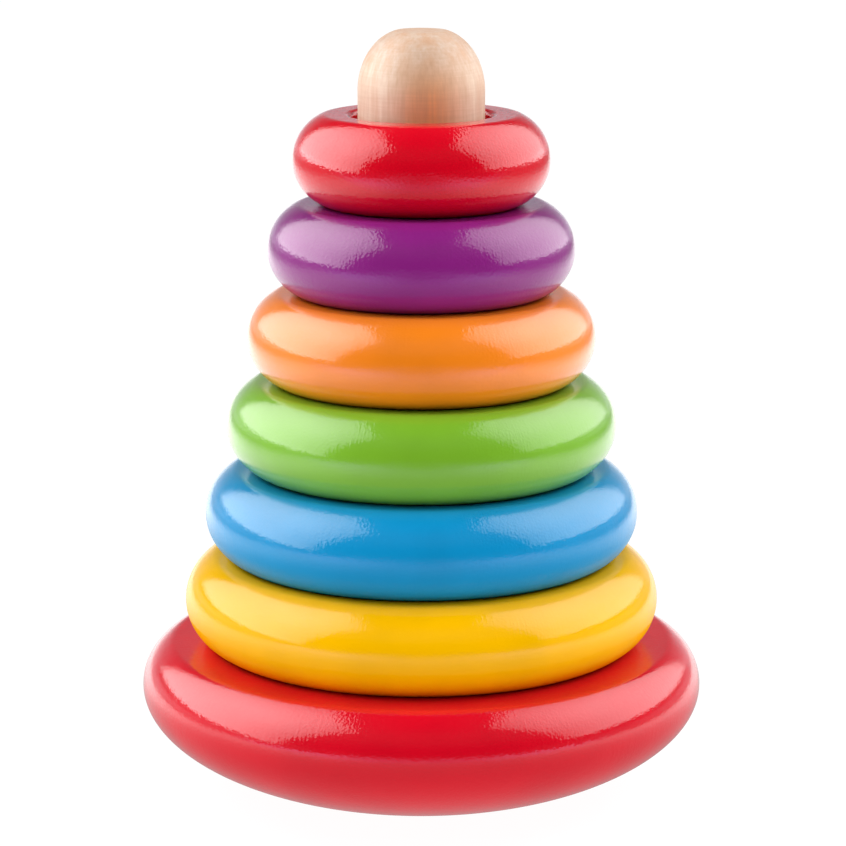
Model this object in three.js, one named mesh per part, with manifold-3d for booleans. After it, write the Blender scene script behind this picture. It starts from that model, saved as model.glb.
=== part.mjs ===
// A wooden stacking pyramid: lacquered rings on a bare wooden post that stands in a rocking base.
// Millimetres, +Z up. The origin is the centre of the flat foot under the base.

import * as THREE from 'three';
import { mergeVertices } from 'three/addons/utils/BufferGeometryUtils.js';
import Module from 'manifold-3d';

// Rings: the wall is the width of wood from the bore to the widest line
const YELLOW_RING_WALL = 41.75;
const BLUE_RING_WALL = 36.5;
const GREEN_RING_WALL = 31;
const ORANGE_RING_WALL = 25.75;
const PURPLE_RING_WALL = 20.5;
const RED_RING_WALL = 14.25;
const RING_THICKNESS = 22;
const RING_CLEARANCE = 1.75; // from the post to a ring's bore, all round
const BORE_EDGE_RADIUS = 1.4;

// Rings in their order from the base up
const RINGS = [
  { name: 'yellow_ring', wall: YELLOW_RING_WALL, color: 0xf7b800 },
  { name: 'blue_ring', wall: BLUE_RING_WALL, color: 0x1f8ac4 },
  { name: 'green_ring', wall: GREEN_RING_WALL, color: 0x7cb535 },
  { name: 'orange_ring', wall: ORANGE_RING_WALL, color: 0xf08424 },
  { name: 'purple_ring', wall: PURPLE_RING_WALL, color: 0x8a2579 },
  { name: 'red_ring', wall: RED_RING_WALL, color: 0xd80f1f },
];

// The bulging edge that the rings and the top of the base share
const EDGE_BULGE = 7.5; // from the rim of a flat face out to the widest line
const EDGE_CREASE_RADIUS = 4; // sanded corner between the bulge and the flat face

// Base: a flat top, a bulging edge, and an elliptical underside with a flat foot
const BASE_DIAMETER = 140;
const BASE_HEIGHT = 37;
const BASE_RIM_DROP = 10.8; // from the top face down to the widest line
const FOOT_DIAMETER = 43;
const BASE_COLOR = 0xd80f1f;

// Post: a dowel glued into the base, with a dome that keeps a small flat tip
const POST_DIAMETER = 31;
const POST_REACH = 20.2; // above the top ring
const POST_TIP_DIAMETER = 12.6;
const DOME_SHOULDER = 12; // half-width of the dome's elliptical side
const DOME_RISE = 15; // half-height of the same ellipse, before the tip is cut flat
const POST_COLOR = 0xe3c3a4;
const SOCKET_CHAMFER = 1; // on the lower end of the post and at the mouth of its socket

// Countersunk wood screw that draws the post into the base from below
const SCREW_DIAMETER = 5;
const SCREW_CORE_DIAMETER = 3.4;
const SCREW_HEAD_DIAMETER = 10;
const SCREW_LENGTH = 42;
const SCREW_POINT_LENGTH = 6;
const SCREW_PLAIN_LENGTH = 14; // smooth shank, head included
const THREAD_PITCH = 2.4;
const SLOT_WIDTH = 1.4; // one arm of the cross recess
const SLOT_SPAN = 5.6;
const SLOT_DEPTH = 2.4;
const SCREW_WEB = 8.5; // wood between the screw head and the socket
const SCREW_COLOR = 0xb9b7ae;

// Wooden plug that closes the screw's pocket in the foot
const PLUG_DIAMETER = 14;
const PLUG_THICKNESS = 5;
const PLUG_INSET = 0.6; // below the foot, so that the part never stands on it
const PLUG_CHAMFER = 0.6;

// Gaps between pieces that are glued or driven together
const FIT_GAP = 0.2;

// Facets
const TURNED_SEGMENTS = 48; // round the rings, the base and the post
const SMALL_SEGMENTS = 16; // round the screw and the plug
const BULGE_STEPS = 5; // from the widest line to a flat face
const CORNER_STEPS = 2;
const UNDERSIDE_STEPS = 10;
const DOME_STEPS = 8;

// Places along the axis that several pieces share
const pocketDepth = PLUG_INSET + PLUG_THICKNESS + FIT_GAP;
const screwHeadHeight = (SCREW_HEAD_DIAMETER - SCREW_DIAMETER) / 2; // a 90 degree countersink
const socketFloor = pocketDepth + screwHeadHeight + SCREW_WEB;
const postBottom = socketFloor + FIT_GAP;
const postTop = BASE_HEIGHT + RINGS.length * RING_THICKNESS + POST_REACH;

const boreRadius = POST_DIAMETER / 2 + RING_CLEARANCE;
const socketRadius = POST_DIAMETER / 2 + FIT_GAP;
const screwHoleRadius = SCREW_DIAMETER / 2 + FIT_GAP;
const pocketRadius = PLUG_DIAMETER / 2 + FIT_GAP;

const wasm = await Module();
wasm.setup();

const point = (radius, height) => new THREE.Vector2(radius, height);

// Points along an elliptical arc, with angles in degrees from outwards to upwards.
function arc(centre, radiusAcross, radiusUp, start, end, steps) {
  return Array.from({ length: steps + 1 }, (_, i) => {
    const angle = THREE.MathUtils.degToRad(THREE.MathUtils.lerp(start, end, i / steps));
    return point(centre.x + radiusAcross * Math.cos(angle), centre.y + radiusUp * Math.sin(angle));
  });
}

// A half-section turned about Z. A section that doesn't meet the axis at both ends is closed on itself.
function turned(section, segments) {
  const outline = section.flat().filter((p, i, all) => i === 0 || p.distanceTo(all[i - 1]) > 1e-6);
  const meetsAxis = outline[0].x === 0 && outline.at(-1).x === 0;
  if (!meetsAxis) outline.push(outline[0].clone());
  return new THREE.LatheGeometry(outline, segments).rotateX(Math.PI / 2);
}

// The bulging edge from its widest line, at the given height, up to the flat face above it.
function bulge(widestRadius, widestHeight, rise) {
  const bulgeRadius = (EDGE_BULGE ** 2 + rise ** 2) / (2 * EDGE_BULGE);
  const creaseRadius = Math.min(EDGE_CREASE_RADIUS, rise / 2);
  const centre = point(widestRadius - bulgeRadius, widestHeight);
  const reach = bulgeRadius - creaseRadius;
  const turn = THREE.MathUtils.radToDeg(Math.asin((rise - creaseRadius) / reach));
  const creaseCentre = point(
    centre.x + Math.sqrt(reach ** 2 - (rise - creaseRadius) ** 2),
    widestHeight + rise - creaseRadius,
  );
  return [
    ...arc(centre, bulgeRadius, bulgeRadius, 0, turn, BULGE_STEPS),
    ...arc(creaseCentre, creaseRadius, creaseRadius, turn, 90, CORNER_STEPS),
  ];
}

function ringGeometry(wall) {
  const half = RING_THICKNESS / 2;
  const upper = bulge(boreRadius + wall, half, half);
  const lower = upper.map((p) => point(p.x, RING_THICKNESS - p.y)).reverse();
  const edge = BORE_EDGE_RADIUS;
  const topCorner = point(boreRadius + edge, RING_THICKNESS - edge);
  const bottomCorner = point(boreRadius + edge, edge);
  return turned([
    lower,
    upper,
    arc(topCorner, edge, edge, 90, 180, CORNER_STEPS),
    arc(bottomCorner, edge, edge, 180, 270, CORNER_STEPS),
  ], TURNED_SEGMENTS);
}

function baseGeometry() {
  const radius = BASE_DIAMETER / 2;
  const widestHeight = BASE_HEIGHT - BASE_RIM_DROP;
  // The underside is an ellipse that is upright at the widest line and is cut flat at the foot.
  const footAngle = Math.acos(FOOT_DIAMETER / BASE_DIAMETER);
  const ellipseDepth = widestHeight / Math.sin(footAngle);
  const footTurn = THREE.MathUtils.radToDeg(footAngle);
  return turned([
    point(pocketRadius, pocketDepth),
    point(pocketRadius, 0),
    arc(point(0, widestHeight), radius, ellipseDepth, -footTurn, 0, UNDERSIDE_STEPS),
    bulge(radius, widestHeight, BASE_RIM_DROP),
    point(socketRadius + SOCKET_CHAMFER, BASE_HEIGHT),
    point(socketRadius, BASE_HEIGHT - SOCKET_CHAMFER),
    point(socketRadius, socketFloor),
    point(screwHoleRadius, socketFloor),
    point(screwHoleRadius, pocketDepth + screwHeadHeight + FIT_GAP),
    point(screwHoleRadius + screwHeadHeight + FIT_GAP, pocketDepth),
  ], TURNED_SEGMENTS);
}

function postGeometry() {
  const radius = POST_DIAMETER / 2;
  // The dome's side is a quarter of an ellipse that is upright at the dowel and is cut flat at the tip.
  const sideCentre = radius - DOME_SHOULDER;
  const tipAngle = Math.acos((POST_TIP_DIAMETER / 2 - sideCentre) / DOME_SHOULDER);
  const domeCentre = point(sideCentre, postTop - DOME_RISE * Math.sin(tipAngle));
  const tipTurn = THREE.MathUtils.radToDeg(tipAngle);
  const pilotTop = pocketDepth + SCREW_LENGTH + FIT_GAP;
  return turned([
    point(0, pilotTop),
    point(screwHoleRadius, pilotTop),
    point(screwHoleRadius, postBottom),
    point(radius - SOCKET_CHAMFER, postBottom),
    point(radius, postBottom + SOCKET_CHAMFER),
    arc(domeCentre, DOME_SHOULDER, DOME_RISE, 0, tipTurn, DOME_STEPS),
    point(0, postTop),
  ], TURNED_SEGMENTS);
}

// A closed geometry as a solid for the boolean cut.
function solidOf(geometry) {
  const bare = geometry.clone();
  bare.deleteAttribute('normal');
  bare.deleteAttribute('uv');
  const merged = mergeVertices(bare);
  return new wasm.Manifold(new wasm.Mesh({
    numProp: 3,
    vertProperties: merged.attributes.position.array,
    triVerts: new Uint32Array(merged.index.array),
  }));
}

function geometryOf(solid) {
  const mesh = solid.getMesh();
  const geometry = new THREE.BufferGeometry();
  geometry.setAttribute('position', new THREE.BufferAttribute(mesh.vertProperties, 3));
  geometry.setIndex(new THREE.BufferAttribute(mesh.triVerts, 1));
  geometry.computeVertexNormals();
  return geometry;
}

// The screw stands on its head, with its head's face at height 0 and its point upwards.
function screwGeometry() {
  const radius = SCREW_DIAMETER / 2;
  const core = SCREW_CORE_DIAMETER / 2;
  const threadEnd = SCREW_LENGTH - SCREW_POINT_LENGTH;
  const turns = Math.floor((threadEnd - SCREW_PLAIN_LENGTH) / THREAD_PITCH);
  const thread = Array.from({ length: turns }, (_, i) => [
    point(core, SCREW_PLAIN_LENGTH + i * THREAD_PITCH),
    point(radius, SCREW_PLAIN_LENGTH + (i + 0.5) * THREAD_PITCH),
  ]).flat();
  const blank = turned([
    point(0, 0),
    point(SCREW_HEAD_DIAMETER / 2, 0),
    point(radius, screwHeadHeight),
    point(radius, SCREW_PLAIN_LENGTH - THREAD_PITCH / 2),
    thread,
    point(core, threadEnd),
    point(0, SCREW_LENGTH),
  ], SMALL_SEGMENTS);
  const arm = new THREE.BoxGeometry(SLOT_SPAN, SLOT_WIDTH, 2 * SLOT_DEPTH);
  const crossArm = new THREE.BoxGeometry(SLOT_WIDTH, SLOT_SPAN, 2 * SLOT_DEPTH);
  return geometryOf(solidOf(blank).subtract(solidOf(arm)).subtract(solidOf(crossArm)));
}

function plugGeometry() {
  const radius = PLUG_DIAMETER / 2;
  return turned([
    point(0, PLUG_INSET),
    point(radius - PLUG_CHAMFER, PLUG_INSET),
    point(radius, PLUG_INSET + PLUG_CHAMFER),
    point(radius, PLUG_INSET + PLUG_THICKNESS),
    point(0, PLUG_INSET + PLUG_THICKNESS),
  ], SMALL_SEGMENTS);
}

function piece(name, geometry, material) {
  const mesh = new THREE.Mesh(geometry, material);
  mesh.name = name;
  return mesh;
}

const lacquer = (color) => new THREE.MeshStandardMaterial({ color, roughness: 0.25, metalness: 0 });
const bareWood = new THREE.MeshStandardMaterial({ color: POST_COLOR, roughness: 0.6, metalness: 0 });
const zincSteel = new THREE.MeshStandardMaterial({ color: SCREW_COLOR, roughness: 0.35, metalness: 1 });

const pyramid = new THREE.Group();

const screw = piece('fixing_screw', screwGeometry(), zincSteel);
screw.position.z = pocketDepth;
pyramid.add(
  piece('base', baseGeometry(), lacquer(BASE_COLOR)),
  piece('post', postGeometry(), bareWood),
  screw,
  piece('screw_plug', plugGeometry(), bareWood),
);

// Each ring lies on what is below it, so its seat is a group inside the seat below.
let seat = new THREE.Group();
seat.position.z = BASE_HEIGHT;
pyramid.add(seat);
for (const { name, wall, color } of RINGS) {
  const nextSeat = new THREE.Group();
  nextSeat.position.z = RING_THICKNESS;
  seat.add(piece(name, ringGeometry(wall), lacquer(color)), nextSeat);
  seat = nextSeat;
}

export default pyramid;
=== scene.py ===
import math

import bmesh
import bpy
from mathutils import Matrix, Quaternion, Vector


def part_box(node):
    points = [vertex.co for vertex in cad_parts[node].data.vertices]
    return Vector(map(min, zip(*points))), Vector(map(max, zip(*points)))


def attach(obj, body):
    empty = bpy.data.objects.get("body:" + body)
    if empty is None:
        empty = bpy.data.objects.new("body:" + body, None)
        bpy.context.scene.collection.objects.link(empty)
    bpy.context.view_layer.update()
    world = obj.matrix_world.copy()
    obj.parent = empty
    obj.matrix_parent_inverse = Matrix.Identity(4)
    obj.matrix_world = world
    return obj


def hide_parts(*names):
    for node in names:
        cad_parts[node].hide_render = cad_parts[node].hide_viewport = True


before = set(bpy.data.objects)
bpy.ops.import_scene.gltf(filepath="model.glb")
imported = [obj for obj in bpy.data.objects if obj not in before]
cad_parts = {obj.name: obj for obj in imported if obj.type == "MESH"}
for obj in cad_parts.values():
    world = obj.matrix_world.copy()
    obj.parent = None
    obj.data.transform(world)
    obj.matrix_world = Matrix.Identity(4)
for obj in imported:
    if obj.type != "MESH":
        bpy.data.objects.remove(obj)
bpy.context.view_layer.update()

scene = bpy.context.scene
scene.view_settings.view_transform = "Standard"
mm = 0.001
print("frame loaded:", len(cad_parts), "nodes")


# camera at the photograph's angle
photoCamera = {
    "place": (0.41, -790.6, 269.1),  # mm
    "pitch": 12.63,  # degrees down
    "lens": 138.9,  # mm
    "sensor": 36.0,
}


def makeCamera(view):
    data = bpy.data.cameras.new("photoCamera")
    data.lens = view["lens"]
    data.sensor_width = view["sensor"]
    camera = bpy.data.objects.new("photoCamera", data)
    camera.location = Vector(view["place"]) * mm
    camera.rotation_euler = (math.radians(90 - view["pitch"]), 0, 0)
    scene.collection.objects.link(camera)
    scene.camera = camera


makeCamera(photoCamera)
print("camera placed")


# turning: a half-section is cut vertex by vertex, then spun about the post's axis
weld = 0.0005  # mm, points closer than this become one


def sizeOf(node):  # radius, bottom and top, mm
    low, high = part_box(node)
    return high.x / mm, low.z / mm, high.z / mm


def startCut(bm, x, z):
    return bm.verts.new((x * mm, 0, z * mm))


def straightCut(bm, tip, x, z):
    tip = bmesh.ops.extrude_vert_indiv(bm, verts=[tip])["verts"][0]
    tip.co = (x * mm, 0, z * mm)
    return tip


def flatCut(bm, tip, x, z, strip):  # a flat face with a narrow strip at each end, so it shades flat
    startX = tip.co.x / mm
    step = strip if x > startX else -strip
    tip = straightCut(bm, tip, startX + step, z)
    tip = straightCut(bm, tip, x - step, z)
    return straightCut(bm, tip, x, z)


def roundCut(bm, tip, centreX, centreZ, degrees, steps):  # positive degrees turn outwards to upwards
    cut = bmesh.ops.spin(
        bm, geom=[tip], cent=(centreX * mm, 0, centreZ * mm), axis=(0, -1, 0),
        angle=math.radians(degrees), steps=steps)
    return [v for v in cut["geom_last"] if isinstance(v, bmesh.types.BMVert)][0]


def pressCut(bm, kept, centreZ, share):  # makes an ellipse of all that was cut round since kept
    press = [v for v in bm.verts if v not in kept]
    bmesh.ops.scale(bm, vec=(1, 1, share), space=Matrix.Translation((0, 0, -centreZ * mm)), verts=press)


def turnPiece(bm, steps):
    bmesh.ops.spin(
        bm, geom=bm.verts[:] + bm.edges[:], cent=(0, 0, 0), axis=(0, 0, 1),
        angle=2 * math.pi, steps=steps, use_merge=True)
    bmesh.ops.remove_doubles(bm, verts=bm.verts[:], dist=weld * mm)
    bmesh.ops.recalc_face_normals(bm, faces=bm.faces[:])


def finishPiece(bm, name, node, body, material):
    mesh = bpy.data.meshes.new(name)
    bm.to_mesh(mesh)
    bm.free()
    mesh.shade_smooth()
    mesh.materials.append(material)
    piece = bpy.data.objects.new(name, mesh)
    scene.collection.objects.link(piece)
    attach(piece, body)
    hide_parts(node)


def bulgeOf(bulge, rise, crease):  # arc that swells by bulge over rise, with a sanded corner at the flat
    radius = (bulge ** 2 + rise ** 2) / (2 * bulge)
    turn = math.asin((rise - crease) / (radius - crease))
    flatInset = radius - (radius - crease) * math.cos(turn)
    return radius, math.degrees(turn), flatInset


# materials: small helpers for node trees
def newMaterial(name):
    material = bpy.data.materials.new(name)
    material.use_nodes = True
    tree = material.node_tree
    return material, tree, tree.nodes["Principled BSDF"]


def addNode(tree, kind, **settings):
    node = tree.nodes.new(kind)
    for key, value in settings.items():
        setattr(node, key, value)
    return node


def setInputs(node, **values):
    for key, value in values.items():
        node.inputs[key.replace("_", " ")].default_value = value
    return node


def coordsOn(tree, kind):
    return addNode(tree, "ShaderNodeTexCoord").outputs[kind]


def noiseOn(tree, vector, scale, detail, roughness=0.5):
    node = addNode(tree, "ShaderNodeTexNoise")
    setInputs(node, Scale=scale, Detail=detail, Roughness=roughness)
    tree.links.new(vector, node.inputs["Vector"])
    return node.outputs["Fac"]


def grainOn(tree, vector, grain):  # noise drawn out along one way
    node = setInputs(addNode(tree, "ShaderNodeMapping"), Scale=grain["stretch"])
    tree.links.new(vector, node.inputs["Vector"])
    return noiseOn(tree, node.outputs["Vector"], 1.0, grain["detail"], grain["roughness"])


def rampOn(tree, value, stops):
    node = addNode(tree, "ShaderNodeValToRGB")
    ramp = node.color_ramp
    while len(ramp.elements) < len(stops):
        ramp.elements.new(0.5)  # its place is set below
    for element, (place, color) in zip(ramp.elements, stops):
        element.position = place
        element.color = (*color, 1)
    tree.links.new(value, node.inputs["Fac"])
    return node.outputs["Color"]


def shadeOn(tree, value, stops):  # stops hold a brightness or a colour
    colors = [(place, shade if isinstance(shade, tuple) else (shade,) * 3) for place, shade in stops]
    return rampOn(tree, value, colors)


def rangeOn(tree, value, low, high, start=0, end=1):
    node = addNode(tree, "ShaderNodeMapRange")
    setInputs(node, From_Min=start, From_Max=end, To_Min=low, To_Max=high)
    tree.links.new(value, node.inputs["Value"])
    return node.outputs["Result"]


def fadeOn(tree, value, start, end):  # mm, smooth from none to full
    node = addNode(tree, "ShaderNodeMapRange", interpolation_type="SMOOTHSTEP")
    setInputs(node, From_Min=start * mm, From_Max=end * mm)
    tree.links.new(value, node.inputs["Value"])
    return node.outputs["Result"]


def bumpOn(tree, height, strength, distance, under=None):
    node = addNode(tree, "ShaderNodeBump")
    setInputs(node, Strength=strength, Distance=distance * mm)
    tree.links.new(height, node.inputs["Height"])
    if under:
        tree.links.new(under, node.inputs["Normal"])
    return node.outputs["Normal"]


def splitOn(tree, vector):
    node = addNode(tree, "ShaderNodeSeparateXYZ")
    tree.links.new(vector, node.inputs[0])
    return node.outputs


def mathOn(tree, operation, first, second):
    node = addNode(tree, "ShaderNodeMath", operation=operation)
    tree.links.new(first, node.inputs[0])
    tree.links.new(second, node.inputs[1])
    return node.outputs[0]


def vectorOn(tree, operation, vector, second=None):
    node = addNode(tree, "ShaderNodeVectorMath", operation=operation)
    tree.links.new(vector, node.inputs[0])
    if second:
        node.inputs[1].default_value = second
    return node.outputs["Value" if operation == "LENGTH" else "Vector"]


def blendOn(tree, share, under, over):
    node = addNode(tree, "ShaderNodeMix", data_type="RGBA")
    tree.links.new(share, node.inputs["Factor"])
    tree.links.new(under, node.inputs[6])  # the colour sockets
    node.inputs[7].default_value = (*over, 1)
    return node.outputs[2]


def linear(red, green, blue):  # screen colour, 0 to 255, as the shader wants it
    def decode(value):
        value /= 255
        return value / 12.92 if value <= 0.04045 else ((value + 0.055) / 1.055) ** 2.4
    return decode(red), decode(green), decode(blue)


# gloss lacquer over turned wood
lacquer = {
    "ripple": 0.7,  # mm, spacing of the cutter marks round the edge
    "rippleDetail": 1.0,
    "rippleHeight": 0.022,  # mm
    "grit": 0.6,  # mm, size of the fine orange peel
    "gritDetail": 0.6,
    "gritHeight": 0.06,
    "wave": 3.0,  # mm, size of the slow unevenness
    "waveDetail": 1.0,
    "waveHeight": 0.03,
    "roughness": (0.32, 0.42),
    "cloud": 55,  # patches of thick and thin paint to a metre
    "cloudDetail": 2.0,
    "cloudStops": (0.3, 0.6),  # from the thickest paint to the plain colour
    "shade": 0.92,  # colour where the paint is thick, as a share of the full colour
    "facing": (-0.3, 0.15),  # how far up a face looks, from where the coat's weight is damped to where it is full
    "ior": 1.5,
}


def lacquerMaterial(name, look, radius):
    material, tree, shader = newMaterial(name)
    place = coordsOn(tree, "Object")
    # cutter marks: noise on the direction from the axis, so they run straight up the edge
    around = vectorOn(tree, "NORMALIZE", vectorOn(tree, "MULTIPLY", place, (1, 1, 0)))
    ripple = noiseOn(tree, around, radius / lacquer["ripple"], lacquer["rippleDetail"])
    grit = noiseOn(tree, place, 1 / (lacquer["grit"] * mm), lacquer["gritDetail"])
    wave = noiseOn(tree, place, 1 / (lacquer["wave"] * mm), lacquer["waveDetail"])
    cloud = noiseOn(tree, place, lacquer["cloud"], lacquer["cloudDetail"])
    normal = bumpOn(tree, ripple, 1.0, lacquer["rippleHeight"])
    normal = bumpOn(tree, grit, look["peel"], lacquer["gritHeight"], normal)
    normal = bumpOn(tree, wave, 1.0, lacquer["waveHeight"], normal)
    dark = tuple(c * lacquer["shade"] for c in look["paint"])
    tone = rampOn(tree, cloud, list(zip(lacquer["cloudStops"], (dark, look["paint"]))))
    tree.links.new(tone, shader.inputs["Base Color"])
    tree.links.new(rangeOn(tree, grit, *lacquer["roughness"]), shader.inputs["Roughness"])
    tree.links.new(normal, shader.inputs["Normal"])
    tree.links.new(normal, shader.inputs["Coat Normal"])
    # the coat's weight is lowered on the side that faces down, a painted shade over the floor's reflection
    # there
    facing = splitOn(tree, coordsOn(tree, "Normal"))["Z"]
    weight = rangeOn(tree, facing, look["dampedCoat"], look["coat"], *lacquer["facing"])
    tree.links.new(weight, shader.inputs["Coat Weight"])
    setInputs(shader, Specular_IOR_Level=look["haze"], Coat_IOR=lacquer["ior"], Coat_Roughness=look["blur"])
    return material


# rings, each as wide and as high up as its node
ringCut = {
    "bore": 17.25,  # mm, radius
    "boreEdge": 1.4,
    "boreEdgeSteps": 6,
    "bulge": 7.5,
    "bulgeSteps": 32,
    "crease": 4.0,
    "creaseSteps": 4,
    "strip": 0.3,  # mm, at each end of a flat face
    "steps": 192,  # round the ring
}
# paint and its faint haze, then the clear coat: orange peel, blur, weight, and weight where it faces down,
# lowered there to damp the floor's reflection
ringLooks = {
    "yellow": {
        "paint": linear(251, 187, 0), "haze": 0.0, "peel": 0.5, "blur": 0.11, "coat": 0.7, "dampedCoat": 0.25},
    "blue": {
        "paint": linear(10, 144, 202), "haze": 0.05, "peel": 0.7, "blur": 0.1, "coat": 0.9, "dampedCoat": 0.22},
    "green": {
        "paint": linear(124, 183, 42), "haze": 0.08, "peel": 0.55, "blur": 0.12, "coat": 1.0, "dampedCoat": 0.95},
    "orange": {
        "paint": linear(247, 133, 20), "haze": 0.12, "peel": 0.55, "blur": 0.12, "coat": 1.0, "dampedCoat": 1.0},
    "purple": {
        "paint": linear(137, 30, 125), "haze": 0.08, "peel": 0.8, "blur": 0.1, "coat": 1.0, "dampedCoat": 0.6},
    "red": {
        "paint": linear(215, 3, 30), "haze": 0.03, "peel": 0.9, "blur": 0.07, "coat": 1.0, "dampedCoat": 0.75},
}


def makeRing(color, look, cut):
    node = color + "_ring"
    radius, bottom, top = sizeOf(node)
    middle = (bottom + top) / 2
    bore, edge, crease = cut["bore"], cut["boreEdge"], cut["crease"]
    bulgeRadius, turn, flatInset = bulgeOf(cut["bulge"], top - middle, crease)
    flatEnd = radius - flatInset
    bm = bmesh.new()
    tip = startCut(bm, bore + edge, bottom)
    tip = flatCut(bm, tip, flatEnd, bottom, cut["strip"])
    tip = roundCut(bm, tip, flatEnd, bottom + crease, 90 - turn, cut["creaseSteps"])
    tip = roundCut(bm, tip, radius - bulgeRadius, middle, 2 * turn, cut["bulgeSteps"])
    tip = roundCut(bm, tip, flatEnd, top - crease, 90 - turn, cut["creaseSteps"])
    tip = flatCut(bm, tip, bore + edge, top, cut["strip"])
    tip = roundCut(bm, tip, bore + edge, top - edge, 90, cut["boreEdgeSteps"])
    tip = straightCut(bm, tip, bore, middle)
    tip = straightCut(bm, tip, bore, bottom + edge)
    roundCut(bm, tip, bore + edge, bottom + edge, 90, cut["boreEdgeSteps"])
    turnPiece(bm, cut["steps"])
    material = lacquerMaterial(color + "Lacquer", look, radius)
    finishPiece(bm, color + "_ring_turned", node, color, material)


for ringColor, ringLook in ringLooks.items():
    makeRing(ringColor, ringLook, ringCut)
print("rings turned")


# base: flat top, bulging rim, elliptical rocker with a flat foot
baseCut = {
    "rimDrop": 10.8,  # mm, from the top face to the widest line
    "foot": 21.5,  # mm, radius
    "footStrip": 0.5,
    "rockerSteps": 40,
    "bulge": 7.5,
    "bulgeSteps": 18,
    "crease": 4.0,
    "creaseSteps": 4,
    "topStrip": 0.3,
    "socket": 15.7,  # mm, radius
    "socketFloor": 16.8,
    "socketChamfer": 1.0,
    "screwHole": 2.7,
    "screwHead": 5.4,
    "pocket": 7.2,
    "pocketDepth": 5.8,
    "steps": 224,  # round the base
    "paint": linear(215, 3, 31),  # then as for the rings
    "haze": 0.06,
    "peel": 0.6,
    "blur": 0.09,
    "coat": 0.95,
    "dampedCoat": 0.7,
}


def makeBase(cut):
    radius, bottom, top = sizeOf("base")
    widest = top - cut["rimDrop"]
    bulgeRadius, turn, flatInset = bulgeOf(cut["bulge"], cut["rimDrop"], cut["crease"])
    footTurn = math.acos(cut["foot"] / radius)
    depth = widest / math.sin(footTurn)
    bm = bmesh.new()
    tip = startCut(bm, cut["screwHead"], cut["pocketDepth"])
    tip = straightCut(bm, tip, cut["pocket"], cut["pocketDepth"])
    tip = straightCut(bm, tip, cut["pocket"], bottom)
    tip = flatCut(bm, tip, cut["foot"], bottom, cut["footStrip"])
    # the rocker is cut as a circle and then pressed to an ellipse
    kept = set(bm.verts)
    tip = straightCut(bm, tip, cut["foot"], widest - radius * math.sin(footTurn))
    tip = roundCut(bm, tip, 0, widest, math.degrees(footTurn), cut["rockerSteps"])
    pressCut(bm, kept, widest, depth / radius)
    tip = roundCut(bm, tip, radius - bulgeRadius, widest, turn, cut["bulgeSteps"])
    tip = roundCut(bm, tip, radius - flatInset, top - cut["crease"], 90 - turn, cut["creaseSteps"])
    tip = flatCut(bm, tip, cut["socket"] + cut["socketChamfer"], top, cut["topStrip"])
    tip = straightCut(bm, tip, cut["socket"], top - cut["socketChamfer"])
    tip = straightCut(bm, tip, cut["socket"], cut["socketFloor"])
    tip = straightCut(bm, tip, cut["screwHole"], cut["socketFloor"])
    tip = straightCut(bm, tip, cut["screwHole"], cut["pocketDepth"] + cut["screwHead"] - cut["screwHole"])
    straightCut(bm, tip, cut["screwHead"], cut["pocketDepth"])
    turnPiece(bm, cut["steps"])
    material = lacquerMaterial("baseLacquer", cut, radius)
    finishPiece(bm, "base_turned", "base", "stand", material)


makeBase(baseCut)
print("base turned")


# bare wood of the post and the plug
wood = {
    "heart": linear(232, 160, 102),  # warm stripe of the wood's own colour through the dowel
    "sapAndSheen": linear(229, 206, 182),  # to both sides of it: pale sap with a painted sheen where the side softboxes shine
    # painted shade: a duller, darker tone over the dome's top, offsetting the light that falls on it from
    # above
    "tip": linear(210, 188, 169),
    "streak": linear(204, 152, 112),
    "fibre": linear(188, 138, 100),
    "heartAside": 2.0,  # mm, to the right of the middle
    "heartWidth": (1, 11),  # mm, half-width, from full to none
    "heartWander": 3,  # mm, unevenness of its edge
    "tipShadeHeight": (173, 188),  # mm, where the tip's painted shade starts and where it is full
    # noise to a metre across and along the grain, then the share of the tone at its lowest and highest
    "streaks": {"stretch": (360, 360, 16), "detail": 3.0, "roughness": 0.5, "share": (-0.75, 1.35)},
    "fibres": {"stretch": (1300, 1300, 110), "detail": 3.0, "roughness": 0.6, "share": (-0.35, 0.7)},
    "lathe": {"stretch": (110, 110, 2100), "detail": 3.0, "roughness": 0.5, "share": (-0.2, 0.4)},
    "fibreBump": (0.6, 0.02),  # strength and height in mm
    "latheBump": (0.4, 0.015),
    "roughness": (0.46, 0.56),
    "shine": 0.55,
    "wax": 0.2,
    "waxRoughness": 0.5,
    "ior": 1.5,
}


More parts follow.
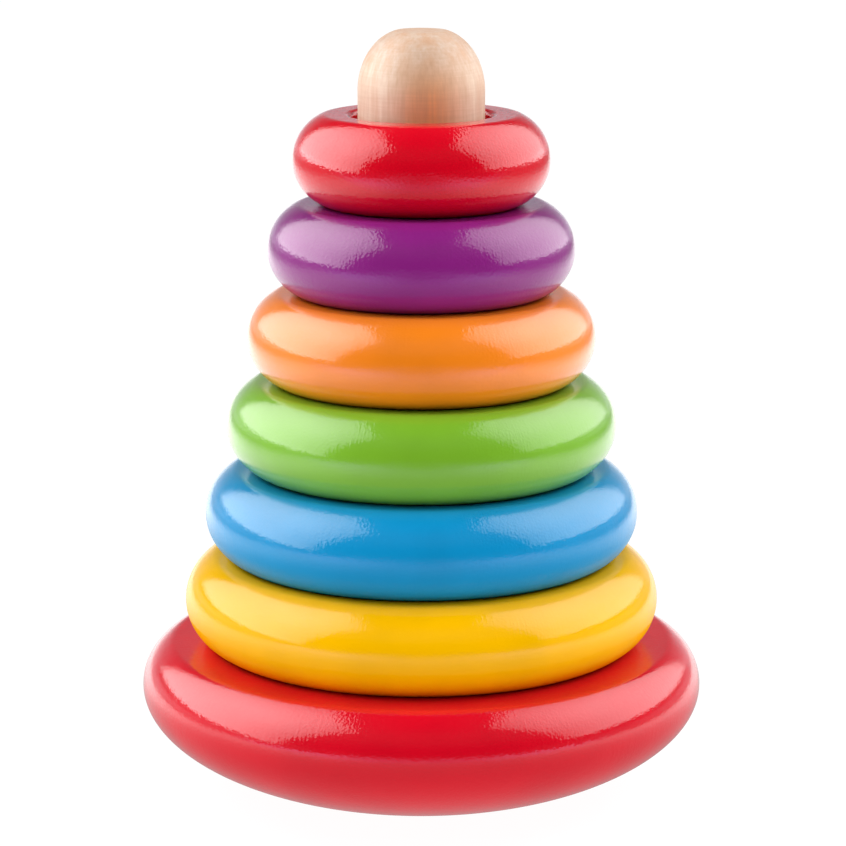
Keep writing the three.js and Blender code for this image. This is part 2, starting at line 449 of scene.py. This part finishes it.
def woodMaterial(name):
    material, tree, shader = newMaterial(name)
    place = coordsOn(tree, "Object")
    streaks = grainOn(tree, place, wood["streaks"])
    fibres = grainOn(tree, place, wood["fibres"])
    lathe = grainOn(tree, place, wood["lathe"])
    # the stripe fades out to the painted sheen at both sides and to the painted shade of the tip, with an
    # uneven edge
    aside = vectorOn(tree, "SUBTRACT", place, (wood["heartAside"] * mm, 0, 0))
    away = splitOn(tree, vectorOn(tree, "ABSOLUTE", aside))
    wander = rangeOn(tree, streaks, -wood["heartWander"] * mm, wood["heartWander"] * mm)
    heartToSheen = fadeOn(tree, mathOn(tree, "ADD", away["X"], wander), *wood["heartWidth"])
    tone = rampOn(tree, heartToSheen, [(0.0, wood["heart"]), (1.0, wood["sapAndSheen"])])
    tone = blendOn(tree, fadeOn(tree, away["Z"], *wood["tipShadeHeight"]), tone, wood["tip"])
    tone = blendOn(tree, rangeOn(tree, streaks, *wood["streaks"]["share"]), tone, wood["streak"])
    tone = blendOn(tree, rangeOn(tree, fibres, *wood["fibres"]["share"]), tone, wood["fibre"])
    tone = blendOn(tree, rangeOn(tree, lathe, *wood["lathe"]["share"]), tone, wood["fibre"])
    tree.links.new(tone, shader.inputs["Base Color"])
    tree.links.new(rangeOn(tree, fibres, *wood["roughness"]), shader.inputs["Roughness"])
    normal = bumpOn(tree, fibres, *wood["fibreBump"])
    normal = bumpOn(tree, lathe, *wood["latheBump"], normal)
    tree.links.new(normal, shader.inputs["Normal"])
    setInputs(shader, IOR=wood["ior"], Specular_IOR_Level=wood["shine"])
    setInputs(shader, Coat_Weight=wood["wax"], Coat_IOR=wood["ior"], Coat_Roughness=wood["waxRoughness"])
    return material


bareWood = woodMaterial("bareWood")

# post: dowel with a domed end and a small flat tip
postCut = {
    "shoulder": 12.0,  # mm, half-width of the dome's elliptical side
    "domeRise": 15.0,  # half-height of the same ellipse
    "domeSteps": 30,
    "tip": 6.3,  # radius of the flat that cuts it
    "footChamfer": 1.0,
    "strip": 0.4,  # mm, beside the chamfer and the flat
    "pilot": 2.7,
    "pilotTop": 48.0,
    "steps": 128,  # round the post
}


def makePost(cut):
    radius, bottom, top = sizeOf("post")
    shoulder, rise, chamfer = cut["shoulder"], cut["domeRise"], cut["footChamfer"]
    centre = radius - shoulder
    turn = math.acos((cut["tip"] - centre) / shoulder)
    spring = top - rise * math.sin(turn)
    bm = bmesh.new()
    tip = startCut(bm, 0, cut["pilotTop"])
    tip = straightCut(bm, tip, cut["pilot"], cut["pilotTop"])
    tip = straightCut(bm, tip, cut["pilot"], bottom)
    tip = straightCut(bm, tip, radius - chamfer, bottom)
    tip = straightCut(bm, tip, radius, bottom + chamfer)
    tip = straightCut(bm, tip, radius, bottom + chamfer + cut["strip"])
    tip = straightCut(bm, tip, radius, spring)
    # the dome is cut round and then drawn up to an ellipse
    kept = set(bm.verts)
    tip = roundCut(bm, tip, centre, spring, math.degrees(turn), cut["domeSteps"])
    pressCut(bm, kept, spring, rise / shoulder)
    tip = straightCut(bm, tip, cut["tip"] - cut["strip"], top)
    straightCut(bm, tip, 0, top)
    turnPiece(bm, cut["steps"])
    finishPiece(bm, "post_turned", "post", "stand", bareWood)


makePost(postCut)
print("post turned")


# plug that closes the screw's pocket under the foot
plugCut = {
    "chamfer": 0.6,  # mm
    "chamferSteps": 4,
    "strip": 0.2,
    "steps": 48,  # round the plug
}


def makePlug(cut):
    radius, bottom, top = sizeOf("screw_plug")
    chamfer = cut["chamfer"]
    bm = bmesh.new()
    tip = startCut(bm, 0, bottom)
    tip = straightCut(bm, tip, radius - chamfer - cut["strip"], bottom)
    tip = straightCut(bm, tip, radius - chamfer, bottom)
    tip = roundCut(bm, tip, radius - chamfer, bottom + chamfer, 90, cut["chamferSteps"])
    tip = straightCut(bm, tip, radius, top)
    straightCut(bm, tip, 0, top)
    turnPiece(bm, cut["steps"])
    finishPiece(bm, "screw_plug_turned", "screw_plug", "stand", bareWood)


makePlug(plugCut)


# screw: the node's own shape is right, so it only gets its zinc
zinc = {
    "bright": linear(196, 195, 186),
    "dull": linear(160, 158, 148),
    "spangle": 900,  # grains of zinc to a metre
    "spangleDetail": 3.0,
    "spangleRoughness": 0.6,
    "spangleStops": (0.35, 0.65),  # from dull to bright
    "turned": {"stretch": (200, 200, 6000), "detail": 2.0, "roughness": 0.5},  # as for the wood
    "turnedBump": (0.4, 0.01),
    "roughness": (0.24, 0.42),
}


def zincMaterial(name):
    material, tree, shader = newMaterial(name)
    place = coordsOn(tree, "Object")
    spangle = noiseOn(tree, place, zinc["spangle"], zinc["spangleDetail"], zinc["spangleRoughness"])
    turned = grainOn(tree, place, zinc["turned"])
    tone = rampOn(tree, spangle, list(zip(zinc["spangleStops"], (zinc["dull"], zinc["bright"]))))
    tree.links.new(tone, shader.inputs["Base Color"])
    tree.links.new(rangeOn(tree, spangle, *zinc["roughness"]), shader.inputs["Roughness"])
    tree.links.new(bumpOn(tree, turned, *zinc["turnedBump"]), shader.inputs["Normal"])
    setInputs(shader, Metallic=1.0)
    return material


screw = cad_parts["fixing_screw"]
screw.data.materials.clear()
screw.data.materials.append(zincMaterial("zincSteel"))
print("plug and screw finished")


# studio: white sweep behind and below, a broad softbox at each side for the gloss, soft fill for the colour
studio = {
    "floor": 3000,  # mm, half the width of the floor
    "floorDrop": 0.1,  # mm, a hair below the foot
    "floorColor": linear(232, 232, 232),
    "floorRoughness": 0.9,
    "floorWhite": 0.93,  # share of plain white that the camera sees, the rest shows the shadow
    "floorGlow": 1.05,
    "skyWhite": 1.0,
    # light that the table throws up for the colour, by the mm to either side, then to front or back
    "tableAside": [(80, 1.3), (170, 1.7), (270, 2.3), (450, 1.2), (700, 0.7)],
    "tableAlong": [(150, 1.0), (300, 0.75), (450, 0.5), (800, 0.6)],
    # the table as the gloss sees it, from left to right and from front to back, mm
    "tableReach": 900,
    "glossAside": [
        (-900, 0.5), (-600, 1.0), (-430, 1.8), (-250, 2.1), (-150, 1.6), (-50, 0.9), (50, 0.85),
        (150, 1.4), (260, 1.9), (430, 1.3), (600, 0.6), (900, 0.3)],
    "glossAlong": [
        (-700, 0.18), (-525, 0.28), (-425, 0.48), (-325, 0.76), (-230, 1.0), (300, 1.0), (900, 0.8)],
    "glossNear": [(70, 0.5), (110, 0.6), (190, 1.0)],  # the toy's own shadow, by the mm from its middle
    "glossTint": [(-260, (1.0, 0.88, 1.5)), (-110, (1.0, 1.0, 1.0))],  # cooler at the front
    # brightness by direction: back is +1 and front -1, right is +1 and left -1, up is +1 and down -1
    "fillUp": [(0.38, 0.0), (0.52, 1.3), (0.8, 1.3), (0.9, 0.1)],  # for the colour
    "paper": (0.92, 0.94, 1.0),  # cool white of the sweep, as the gloss sees it
    "sweepAround": [(-0.77, 0.12), (-0.5, 0.45), (-0.34, 0.85), (0.0, 1.2), (0.45, 1.9), (0.85, 1.9)],
    "sweepAside": [
        (-0.75, 1.0), (-0.5, 0.7), (-0.17, 0.12), (0.0, 0.03), (0.17, 0.08), (0.5, 0.48), (0.75, 0.68)],
    "sweepUp": [(-0.1, 0.6), (0.06, 0.5), (0.14, 0.0)],
    "backdropAround": [(0.78, 0.0), (0.88, 1.0)],
    "backdropUp": [
        (-0.42, 0.04), (-0.2, 1.1), (-0.05, 1.0), (0.1, 0.55), (0.2, 0.32), (0.34, 0.16), (0.5, 0.03)],
    # softboxes
    "boxWide": 1280,  # mm
    "boxHigh": 1040,
    "boxAround": {"Left": 97, "Right": 102},  # degrees from the front
    "boxTilt": 20,  # degrees
    "boxDistance": 680,  # mm
    "boxRaise": 338,
    "boxAim": {"Left": 74, "Right": 104},  # mm, height that it faces
    "boxRoll": {"Left": -8, "Right": -1},  # degrees
    # front edge to back edge, then bottom to top
    "boxAcross": [
        (0.0, 0.44), (0.16, 0.72), (0.36, 0.98), (0.46, 1.0), (0.6, 0.93), (0.8, 0.67), (1.0, 0.42)],
    "boxUpwards": [(0.0, 1.0), (0.5, 1.0), (0.76, 0.8), (1.0, 0.6)],
    "glossPower": {"Left": 22, "Right": 16.2},  # watts
    # lamps for the colour
    "keyWide": 650,  # mm
    "keyHigh": 400,
    "keyAround": 85,  # degrees from the front
    "keyTilt": 42,  # degrees
    "keyDistance": 900,  # mm
    "keyAim": 100,
    "keyPower": {"Left": 5.2, "Right": 4.5},  # watts
}


def spreadOn(tree, value, reach, stops):  # brightness by a place or direction, from -reach to reach
    spread = rangeOn(tree, value, 0, 1, -reach, reach)
    return shadeOn(tree, spread, [(place / reach / 2 + 0.5, shade) for place, shade in stops])


def awayOn(tree, distance, stops):  # brightness by a distance in mm
    return shadeOn(tree, distance, [(far * mm, shade) for far, shade in stops])


def raysOn(tree):  # rays from the camera, then rays of gloss and glass
    ray = addNode(tree, "ShaderNodeLightPath").outputs
    return ray["Is Camera Ray"], mathOn(tree, "MAXIMUM", ray["Is Glossy Ray"], ray["Is Transmission Ray"])


def pickOn(tree, switch, off, on):
    node = addNode(tree, "ShaderNodeMix", data_type="FLOAT")
    tree.links.new(switch, node.inputs["Factor"])
    tree.links.new(off, node.inputs["A"])
    node.inputs["B"].default_value = on
    return node.outputs["Result"]


def mixOn(tree, share, under, over):
    node = addNode(tree, "ShaderNodeMixShader")
    tree.links.new(share, node.inputs["Fac"])
    tree.links.new(under.outputs[0], node.inputs[1])
    tree.links.new(over.outputs[0], node.inputs[2])
    return node


def floorMaterial(name):
    material, tree, shader = newMaterial(name)
    setInputs(
        shader, Base_Color=(*studio["floorColor"], 1),
        Roughness=studio["floorRoughness"], Specular_IOR_Level=0.0)
    camera, gloss = raysOn(tree)
    place = coordsOn(tree, "Object")
    # the pool of light that the colour gets, white to the camera
    away = splitOn(tree, vectorOn(tree, "ABSOLUTE", place))
    pool = mathOn(
        tree, "MULTIPLY",
        awayOn(tree, away["X"], studio["tableAside"]), awayOn(tree, away["Y"], studio["tableAlong"]))
    glow = setInputs(addNode(tree, "ShaderNodeEmission"), Color=(1, 1, 1, 1))
    tree.links.new(pickOn(tree, camera, pool, studio["floorGlow"]), glow.inputs["Strength"])
    # the table that the gloss sees
    across = splitOn(tree, vectorOn(tree, "MULTIPLY", place, (1 / mm,) * 3))
    reach = studio["tableReach"]
    shine = mathOn(
        tree, "MULTIPLY",
        spreadOn(tree, across["X"], reach, studio["glossAside"]),
        spreadOn(tree, across["Y"], reach, studio["glossAlong"]))
    near = awayOn(tree, vectorOn(tree, "LENGTH", place), studio["glossNear"])
    sheen = addNode(tree, "ShaderNodeEmission")
    tree.links.new(spreadOn(tree, across["Y"], reach, studio["glossTint"]), sheen.inputs["Color"])
    tree.links.new(mathOn(tree, "MULTIPLY", shine, near), sheen.inputs["Strength"])
    table = mixOn(tree, rangeOn(tree, camera, 1.0, studio["floorWhite"]), shader, glow)
    table = mixOn(tree, gloss, table, sheen)
    tree.links.new(table.outputs[0], tree.nodes["Material Output"].inputs["Surface"])
    return material


def makeFloor():
    bm = bmesh.new()
    under = Matrix.Translation((0, 0, -studio["floorDrop"] * mm))
    bmesh.ops.create_grid(bm, x_segments=1, y_segments=1, size=studio["floor"] * mm, matrix=under)
    mesh = bpy.data.meshes.new("floor")
    bm.to_mesh(mesh)
    bm.free()
    mesh.materials.append(floorMaterial("floorPaper"))
    floor = bpy.data.objects.new("floor", mesh)
    scene.collection.objects.link(floor)


def makeWorld():
    world = bpy.data.worlds.new("studio")
    scene.world = world
    world.use_nodes = True
    tree = world.node_tree
    camera, gloss = raysOn(tree)
    x, y, z = splitOn(tree, coordsOn(tree, "Generated"))
    sweep = mathOn(
        tree, "MULTIPLY",
        spreadOn(tree, x, 1, studio["sweepAside"]), spreadOn(tree, y, 1, studio["sweepAround"]))
    sweep = mathOn(tree, "MULTIPLY", sweep, spreadOn(tree, z, 1, studio["sweepUp"]))
    backdrop = mathOn(
        tree, "MULTIPLY",
        spreadOn(tree, y, 1, studio["backdropAround"]), spreadOn(tree, z, 1, studio["backdropUp"]))
    fill = spreadOn(tree, z, 1, studio["fillUp"])
    back = setInputs(tree.nodes["Background"], Color=(1, 1, 1, 1))
    tree.links.new(pickOn(tree, camera, fill, studio["skyWhite"]), back.inputs["Strength"])
    paper = setInputs(addNode(tree, "ShaderNodeBackground"), Color=(*studio["paper"], 1))
    tree.links.new(mathOn(tree, "MAXIMUM", sweep, backdrop), paper.inputs["Strength"])
    mix = mixOn(tree, gloss, back, paper)
    tree.links.new(mix.outputs[0], tree.nodes["World Output"].inputs["Surface"])
    world.cycles.sampling_method = "NONE"  # its light goes by the kind of ray, so it isn't sampled as a lamp


def makeLamp(name, wide, high, power, place, turn):
    data = bpy.data.lights.new(name, "AREA")
    data.shape = "RECTANGLE"
    data.size = wide * mm
    data.size_y = high * mm
    data.energy = power
    lamp = bpy.data.objects.new(name, data)
    lamp.location = place * mm
    lamp.rotation_euler = turn.to_euler()
    lamp.visible_camera = False
    scene.collection.objects.link(lamp)
    return lamp


def turnTo(sign, around, tilt):  # a lamp's turn when it stands so many degrees round from the front and up
    around, tilt = math.radians(around), math.radians(tilt)
    outward = Vector((sign * math.sin(around), -math.cos(around), math.tan(tilt)))
    return outward.to_track_quat("Z", "Y")


def makeSoftbox(side, sign):  # seen by the gloss only, with its face shaded
    turn = turnTo(sign, studio["boxAround"][side], studio["boxTilt"])
    turn = turn @ Quaternion((0, 0, 1), math.radians(studio["boxRoll"][side]))
    reach = turn @ Vector((0, studio["boxRaise"], studio["boxDistance"]))
    place = Vector((0, 0, studio["boxAim"][side])) + reach
    power = studio["glossPower"][side]
    lamp = makeLamp("softbox" + side, studio["boxWide"], studio["boxHigh"], power, place, turn)
    lamp.visible_diffuse = False
    lamp.data.use_nodes = True
    tree = lamp.data.node_tree
    face = splitOn(tree, coordsOn(tree, "UV"))
    across = rangeOn(tree, face["X"], 0, 1, 0.5 - 0.5 * sign, 0.5 + 0.5 * sign)  # from its front edge
    shade = mathOn(
        tree, "MULTIPLY",
        shadeOn(tree, across, studio["boxAcross"]), shadeOn(tree, face["Y"], studio["boxUpwards"]))
    tree.links.new(shade, tree.nodes["Emission"].inputs["Strength"])


def makeKey(side, sign):  # the softbox's bright middle, for the colour only
    turn = turnTo(sign, studio["keyAround"], studio["keyTilt"])
    place = Vector((0, 0, studio["keyAim"])) + turn @ Vector((0, 0, studio["keyDistance"]))
    power = studio["keyPower"][side]
    lamp = makeLamp("key" + side, studio["keyWide"], studio["keyHigh"], power, place, turn)
    lamp.visible_glossy = False


makeFloor()
makeWorld()
for boxSide, boxSign in (("Left", -1), ("Right", 1)):
    makeSoftbox(boxSide, boxSign)
    makeKey(boxSide, boxSign)
print("studio lit")
